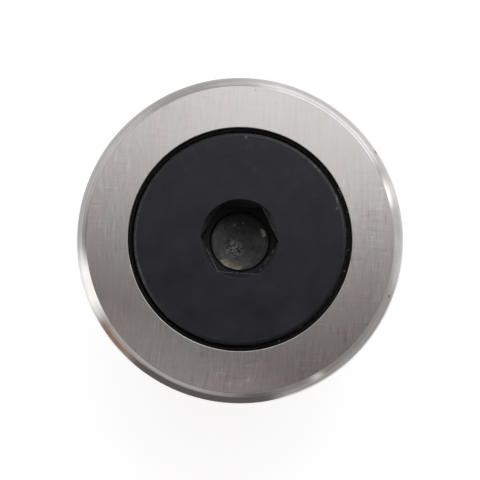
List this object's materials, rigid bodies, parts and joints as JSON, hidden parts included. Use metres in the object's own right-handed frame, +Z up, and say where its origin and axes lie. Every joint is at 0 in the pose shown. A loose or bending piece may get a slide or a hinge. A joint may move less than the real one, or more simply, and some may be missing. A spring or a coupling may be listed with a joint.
{
  "type": "forklift mast roller",
  "caption": "Stud-mounted mast roller: a thick ground steel ring runs on cylindrical rollers round a black stud with a hexagon socket in its flanged head and a threaded end.",
  "frame": {"origin": "on the stud's axis, in the plane of the thrust ring's back face, which seats on the mast", "axes": "+Z up the stud's axis from the threaded end to the head; +X through a corner of the hexagon socket"},
  "size_m": [0.068, 0.068, 0.079],
  "materials": {
    "ground_steel": "bright, face ground with fine straight lines, turned corners",
    "black_steel": "black oxide, satin",
    "roller_steel": "hardened and polished",
    "seal_rubber": "matt black"
  },
  "bodies": {
    "stud": {"stud": "black_steel", "thrust_ring": "black_steel"},
    "outer_ring": {"outer_ring": "ground_steel", "front_seal": "seal_rubber", "rear_seal": "seal_rubber"},
    "front_roller_row": {"front_roller_01": "roller_steel", "front_roller_02": "roller_steel", "front_roller_03": "roller_steel", "front_roller_04": "roller_steel", "front_roller_05": "roller_steel", "front_roller_06": "roller_steel", "front_roller_07": "roller_steel", "front_roller_08": "roller_steel", "front_roller_09": "roller_steel", "front_roller_10": "roller_steel", "front_roller_11": "roller_steel", "front_roller_12": "roller_steel", "front_roller_13": "roller_steel", "front_roller_14": "roller_steel"},
    "rear_roller_row": {"rear_roller_01": "roller_steel", "rear_roller_02": "roller_steel", "rear_roller_03": "roller_steel", "rear_roller_04": "roller_steel", "rear_roller_05": "roller_steel", "rear_roller_06": "roller_steel", "rear_roller_07": "roller_steel", "rear_roller_08": "roller_steel", "rear_roller_09": "roller_steel", "rear_roller_10": "roller_steel", "rear_roller_11": "roller_steel", "rear_roller_12": "roller_steel", "rear_roller_13": "roller_steel", "rear_roller_14": "roller_steel"}
  },
  "joints": [
    {"name": "outer_ring_spin", "type": "hinge", "parent": "stud", "child": "outer_ring", "pos_m": [0, 0, 0.0145], "axis": [0, 0, 1], "continuous": true},
    {"name": "front_row_orbit", "type": "hinge", "parent": "stud", "child": "front_roller_row", "pos_m": [0, 0, 0.0197], "axis": [0, 0, 1], "continuous": true},
    {"name": "rear_row_orbit", "type": "hinge", "parent": "stud", "child": "rear_roller_row", "pos_m": [0, 0, 0.0093], "axis": [0, 0, 1], "continuous": true}
  ],
  "couplings": [
    {"joint": "front_row_orbit", "follows": "outer_ring_spin", "ratio": 0.61114},
    {"joint": "rear_row_orbit", "follows": "outer_ring_spin", "ratio": 0.61114}
  ]
}
